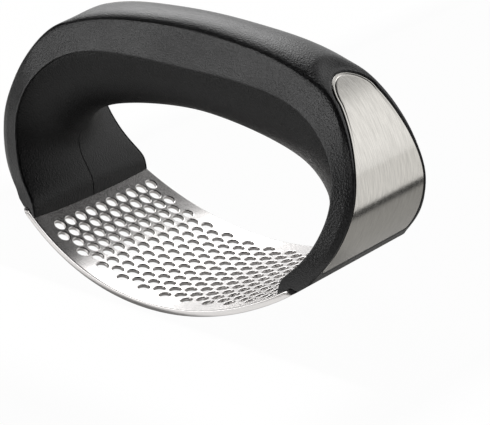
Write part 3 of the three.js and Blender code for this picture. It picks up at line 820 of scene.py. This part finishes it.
class NodeTree:
    """A short way to write the node tree of a material or world."""

    def __init__(self, owner):
        owner.use_nodes = True
        self.tree = owner.node_tree
        self.shader = self.tree.nodes.get("Principled BSDF")

    def clear(self):
        self.shader = None
        self.tree.nodes.clear()

    def add(self, kind, **values):
        node = self.tree.nodes.new(kind)
        for key, value in values.items():
            if hasattr(node, key):
                setattr(node, key, value)
            else:
                node.inputs[key.replace("_", " ")].default_value = value
        return node

    def link(self, source, target):
        self.tree.links.new(source, target)

    def give(self, name, source):
        """Links an output to a socket of the shader."""
        self.link(source, self.shader.inputs[name])

    def set(self, name, value):
        self.shader.inputs[name].default_value = value

    def noise(self, scale, detail=2.0, roughness=0.5):
        """Noise over object coordinates that are stretched by a scale."""
        where = self.add("ShaderNodeTexCoord")
        mapping = self.add("ShaderNodeMapping", Scale=scale)
        self.link(where.outputs["Object"], mapping.inputs["Vector"])
        node = self.add("ShaderNodeTexNoise", Detail=detail, Roughness=roughness)
        node.inputs["Scale"].default_value = 1.0
        self.link(mapping.outputs["Vector"], node.inputs["Vector"])
        return node.outputs["Fac"]

    def ramp(self, source, low, high, start, end, interpolation="LINEAR"):
        """A value that goes from start to end while its source goes from low to high."""
        node = self.add("ShaderNodeMapRange", interpolation_type=interpolation)
        self.link(source, node.inputs["Value"])
        for name, value in (("From Min", low), ("From Max", high), ("To Min", start), ("To Max", end)):
            node.inputs[name].default_value = value
        return node.outputs["Result"]

    def fade(self, source, low, high, start, end):
        return self.ramp(source, low, high, start, end, "SMOOTHSTEP")

    def mix(self, factor, first, second):
        node = self.add("ShaderNodeMix", data_type="RGBA")
        self.link(factor, node.inputs["Factor"])
        node.inputs["A"].default_value = (*first, 1)
        node.inputs["B"].default_value = (*second, 1)
        return node.outputs["Result"]

    def bump(self, height, strength, distance):
        node = self.add("ShaderNodeBump", Strength=strength, Distance=distance)
        self.link(height, node.inputs["Height"])
        return node.outputs["Normal"]

    def math(self, operation, first, second):
        node = self.add("ShaderNodeMath", operation=operation)
        for socket, value in zip(node.inputs, (first, second)):
            if isinstance(value, (int, float)):
                socket.default_value = value
            else:
                self.link(value, socket)
        return node.outputs[0]

    def seen_white(self, shader, share):
        """The shader, but mostly plain white where it is looked at directly."""
        path = self.add("ShaderNodeLightPath")
        white = self.add("ShaderNodeEmission", Strength=1.0)
        mix = self.add("ShaderNodeMixShader")
        self.link(self.math("MULTIPLY", path.outputs["Is Camera Ray"], share), mix.inputs[0])
        self.link(shader, mix.inputs[1])
        self.link(white.outputs[0], mix.inputs[2])
        return mix.outputs[0]


def new_material(name):
    """A new material and its node tree."""
    material = bpy.data.materials.new(name)
    return material, NodeTree(material)


def scaled(shade, factor):
    return [channel * factor for channel in shade]


def moulded_plastic(name, shade, roughness, specular, grain):
    """Black plastic with a fine spark-eroded grain."""
    material, nodes = new_material(name)
    fine = nodes.noise(GRAIN, 2.0)
    broad = nodes.noise(CLOUDS, 3.0)
    spread = nodes.ramp(fine, 0.3, 0.7, 0, 1)
    nodes.give("Base Color", nodes.mix(spread, scaled(shade, 0.6), scaled(shade, 1.5)))
    nodes.set("Specular IOR Level", specular)
    nodes.give("Roughness", nodes.ramp(broad, 0.3, 0.7, roughness - 0.04, roughness + 0.04))
    nodes.give("Normal", nodes.bump(fine, grain, GRAIN_HEIGHT))
    return material


def satin_steel(name, shade, roughness):
    """Bead-blasted or plated metal with a slightly uneven sheen."""
    material, nodes = new_material(name)
    fine = nodes.noise(SATIN, 2.0)
    cloud = nodes.noise(SATIN_CLOUDS, 3.0)
    nodes.give("Base Color", nodes.mix(cloud, scaled(shade, 0.93), shade))
    nodes.set("Metallic", 1.0)
    nodes.give("Roughness", nodes.ramp(fine, 0.3, 0.7, roughness - 0.05, roughness + 0.06))
    nodes.give("Normal", nodes.bump(fine, 0.25, SCRATCH_HEIGHT))
    return material


def brushed_steel(name, shade, roughness):
    """Short streaks along the leg, which spread reflections sideways."""
    material, nodes = new_material(name)
    streaks = nodes.noise(STREAKS, 3.0, 0.7)
    short = nodes.noise(SHORT_STREAKS, 2.0)
    nodes.give("Base Color", nodes.mix(nodes.ramp(streaks, 0.35, 0.65, 0, 1), scaled(shade, 0.78), shade))
    nodes.set("Metallic", 1.0)
    nodes.set("Anisotropic", 0.9)
    nodes.give("Tangent", nodes.add("ShaderNodeCombineXYZ", Y=1.0).outputs[0])
    nodes.give("Roughness", nodes.ramp(short, 0.3, 0.7, roughness - 0.03, roughness + 0.03))
    nodes.give("Normal", nodes.bump(streaks, 0.25, SCRATCH_HEIGHT))
    return material


def foam(name):
    material, nodes = new_material(name)
    cells = nodes.noise(FOAM_CELLS, 4.0)
    nodes.give("Base Color", nodes.mix(cells, (0.02, 0.02, 0.022), (0.05, 0.05, 0.055)))
    nodes.set("Roughness", 0.95)
    nodes.give("Normal", nodes.bump(cells, 0.8, FOAM_HEIGHT))
    return material


# ---- the pieces --------------------------------------------------------------------------------

def finish_piece(piece, material, node):
    """Gives a piece its material, and puts it in the place of its CAD node."""
    piece.data.materials.clear()
    piece.data.materials.append(material)
    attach(piece, "root")
    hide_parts(node)


shell_plastic = moulded_plastic("shell_plastic", (0.014, 0.014, 0.015), roughness=0.33, specular=0.5,
                                grain=0.5)
# The liner's plastic is darker than the shell's. This is partly the moulding's own tone and partly painted
# shade for the inside of the arch, which faces down, away from the lights.
liner_plastic_and_painted_shade = moulded_plastic("liner_plastic_and_painted_shade", (0.005, 0.005, 0.0053), roughness=0.4, specular=0.35,
                                grain=0.8)
plate_steel = satin_steel("plate_steel", (0.76, 0.74, 0.73), roughness=0.2)
brushed = brushed_steel("trim_brushed", (0.68, 0.66, 0.62), roughness=0.14)
finish_piece(outer_shell(), shell_plastic, "handle_outer_shell")
finish_piece(inner_liner(), liner_plastic_and_painted_shade, "handle_inner_liner")
finish_piece(press_plate(), plate_steel, "press_plate")
for side_name, sign in (("right", 1), ("left", -1)):
    finish_piece(trim_mesh(f"trim_sheet_{side_name}", sign), brushed, f"trim_{side_name}")

tape_material = foam("tape_foam")
screw_material = satin_steel("screw_zinc", (0.6, 0.61, 0.63), roughness=0.35)
for node_name, cad_piece in frame["nodes"].items():
    if node_name.startswith(("trim_tape", "screw")):
        material = tape_material if node_name.startswith("trim_tape") else screw_material
        for slot in cad_piece.material_slots:
            slot.material = material


# ---- stage, light and camera -------------------------------------------------------------------

# Sizes in metres
CARD = (0.068, 0.0805)         # the dark cards lie between these distances from the middle
CARD_SPAN = (-0.15, 0.25)      # and between these lines, front and back
CARD_HEIGHT = 0.0005
# the cards' colour is painted shade, seen only in the steel's reflections
CARD_SHADE = (0.03, 0.03, 0.03)
FLOOR_REACH = 3
FLOOR_GAP = 0.0002             # between the floor and the press
FLOOR_SHADE = (0.5, 0.49, 0.47)
FLOOR_WHITE = 0.97             # share of plain white that the camera sees
FLOOR_NEAR = 0.15              # glow of the floor between the cards
FLOOR_FAR = 0.7                # and outside them
FLOOR_FRONT = -0.0225          # the front half of the floor glows less, from this line on
FLOOR_FRONT_SHARE = 0.3
STRIP_GLOW = 0.85              # but a strip just before the press is bright, up to the right foot
STRIP_START = 0.003            # width of its fade at the line
STRIP_END = (FLOOR_FRONT * 3.2, FLOOR_FRONT * 2.2)
STRIP_RIGHT = (0.05, 0.07)


def floor():
    """A pale floor that glows unevenly, so that the steel reflects lighter and darker zones."""
    material, nodes = new_material("pale_floor")
    nodes.clear()
    where = nodes.add("ShaderNodeTexCoord")
    parts = nodes.add("ShaderNodeSeparateXYZ")
    nodes.link(where.outputs["Object"], parts.inputs[0])
    x, y = parts.outputs["X"], parts.outputs["Y"]
    around = nodes.fade(nodes.math("ABSOLUTE", x, 0), *CARD, FLOOR_NEAR, FLOOR_FAR)
    around = nodes.math("MULTIPLY", around, nodes.fade(y, FLOOR_FRONT * 2, FLOOR_FRONT, FLOOR_FRONT_SHARE, 1))
    strip = nodes.fade(y, FLOOR_FRONT - STRIP_START, FLOOR_FRONT, STRIP_GLOW, 0)
    strip = nodes.math("MULTIPLY", strip, nodes.fade(y, *STRIP_END, 0, 1))
    strip = nodes.math("MULTIPLY", strip, nodes.fade(x, *STRIP_RIGHT, 1, 0))
    glow = nodes.add("ShaderNodeEmission")
    nodes.link(nodes.math("MAXIMUM", around, strip), glow.inputs["Strength"])
    cover = nodes.add("ShaderNodeBsdfDiffuse", Color=(*FLOOR_SHADE, 1))
    both = nodes.add("ShaderNodeAddShader")
    nodes.link(glow.outputs[0], both.inputs[0])
    nodes.link(cover.outputs[0], both.inputs[1])
    out = nodes.add("ShaderNodeOutputMaterial")
    nodes.link(nodes.seen_white(both.outputs[0], FLOOR_WHITE), out.inputs["Surface"])
    low, high = (-FLOOR_REACH, -FLOOR_REACH), (FLOOR_REACH, FLOOR_REACH)
    stage_sheet("floor", low, high, cad_bounds[0][2] - FLOOR_GAP, material)


def stage_sheet(name, low, high, height, material):
    """A level rectangle of the stage, between two corners."""
    mesh = bpy.data.meshes.new(name)
    corners = [(low[0], low[1]), (high[0], low[1]), (high[0], high[1]), (low[0], high[1])]
    mesh.from_pydata([(x, y, height) for x, y in corners], [], [(0, 1, 2, 3)])
    mesh.materials.append(material)
    sheet = bpy.data.objects.new(name, mesh)
    bpy.context.collection.objects.link(sheet)
    return sheet


def dark_cards():
    """Narrow dark cards on the floor beside the press, which only its reflections show. They are painted
    shade: a dark band in the steel's reflections in place of the shade on the floor beside the press.
    """
    material, nodes = new_material("dark_card")
    nodes.set("Base Color", (*CARD_SHADE, 1))
    nodes.set("Roughness", 0.9)
    for name, side in (("dark_card_left", -1), ("dark_card_right", 1)):
        start, end = sorted((side * CARD[0], side * CARD[1]))
        low, high = (start, CARD_SPAN[0]), (end, CARD_SPAN[1])
        card = stage_sheet(name, low, high, CARD_HEIGHT, material)
        card.visible_camera = False


# A light's direction, the cosines where it starts and where it is full, and its strength
BACKDROP = ((0.0, 1.0, 0.1), 0.12, 0.62, 1.1)
BACKDROP_TOP = (0.6, 0.72)     # the backdrop fades out between these heights of a direction
WORLD_LIGHTS = (((-0.6, 0.48, 0.64), 0.91, 0.98, 4.5),
                ((-0.55, -0.83, 0.03), 0.9, 0.985, 4.4),
                ((0.62, 0.71, 0.32), 0.88, 0.995, 0.4))
WORLD_BASE = 0.025


def world():
    """A white backdrop behind the press, three smaller lights, and dark elsewhere."""
    scene_world = bpy.data.worlds.new("studio")
    bpy.context.scene.world = scene_world
    nodes = NodeTree(scene_world)
    nodes.clear()
    where = nodes.add("ShaderNodeTexCoord").outputs["Generated"]

    def light(direction, start, full, strength):
        cosine = nodes.add("ShaderNodeVectorMath", operation="DOT_PRODUCT")
        nodes.link(where, cosine.inputs[0])
        cosine.inputs[1].default_value = Vector(direction).normalized()
        return nodes.fade(cosine.outputs["Value"], start, full, 0, strength)

    parts = nodes.add("ShaderNodeSeparateXYZ")
    nodes.link(where, parts.inputs[0])
    top = nodes.fade(parts.outputs["Z"], *BACKDROP_TOP, 1, 0)
    total = nodes.math("ADD", nodes.math("MULTIPLY", light(*BACKDROP), top), WORLD_BASE)
    for row in WORLD_LIGHTS:
        total = nodes.math("ADD", light(*row), total)
    background = nodes.add("ShaderNodeBackground")
    nodes.link(total, background.inputs["Strength"])
    out = nodes.add("ShaderNodeOutputWorld")
    nodes.link(nodes.seen_white(background.outputs[0], 1.0), out.inputs["Surface"])


CAMERA_AZIMUTH = math.radians(38.98)      # from the front towards the right
CAMERA_ELEVATION = math.radians(23.77)
CAMERA_ROLL = math.radians(-0.63)
CAMERA_DISTANCE = 0.4564
CAMERA_TARGET = (0, 0, 0.0007)
LENS = 150.9
SENSOR = 36
SHIFT = (0.0761, 0.1193)                  # puts the press where the photograph has it
NEAREST = 0.01


def camera():
    """The view from the front right, a little above, through a long lens."""
    level = math.cos(CAMERA_ELEVATION)
    right = Vector((math.cos(CAMERA_AZIMUTH), math.sin(CAMERA_AZIMUTH), 0))
    back = Vector((right.y * level, -right.x * level, math.sin(CAMERA_ELEVATION)))
    up = back.cross(right)
    cosine, sine = math.cos(CAMERA_ROLL), math.sin(CAMERA_ROLL)
    right, up = right * cosine + up * sine, up * cosine - right * sine
    data = bpy.data.cameras.new("camera")
    data.sensor_width = SENSOR
    data.lens = LENS
    data.shift_x, data.shift_y = SHIFT
    data.clip_start = NEAREST
    view = bpy.data.objects.new("camera", data)
    turn = Matrix((right, up, back)).transposed().to_4x4()
    view.matrix_world = Matrix.Translation(Vector(CAMERA_TARGET) + back * CAMERA_DISTANCE) @ turn
    bpy.context.collection.objects.link(view)
    bpy.context.scene.camera = view


floor()
dark_cards()
world()
camera()
bpy.context.scene.view_settings.view_transform = "Standard"
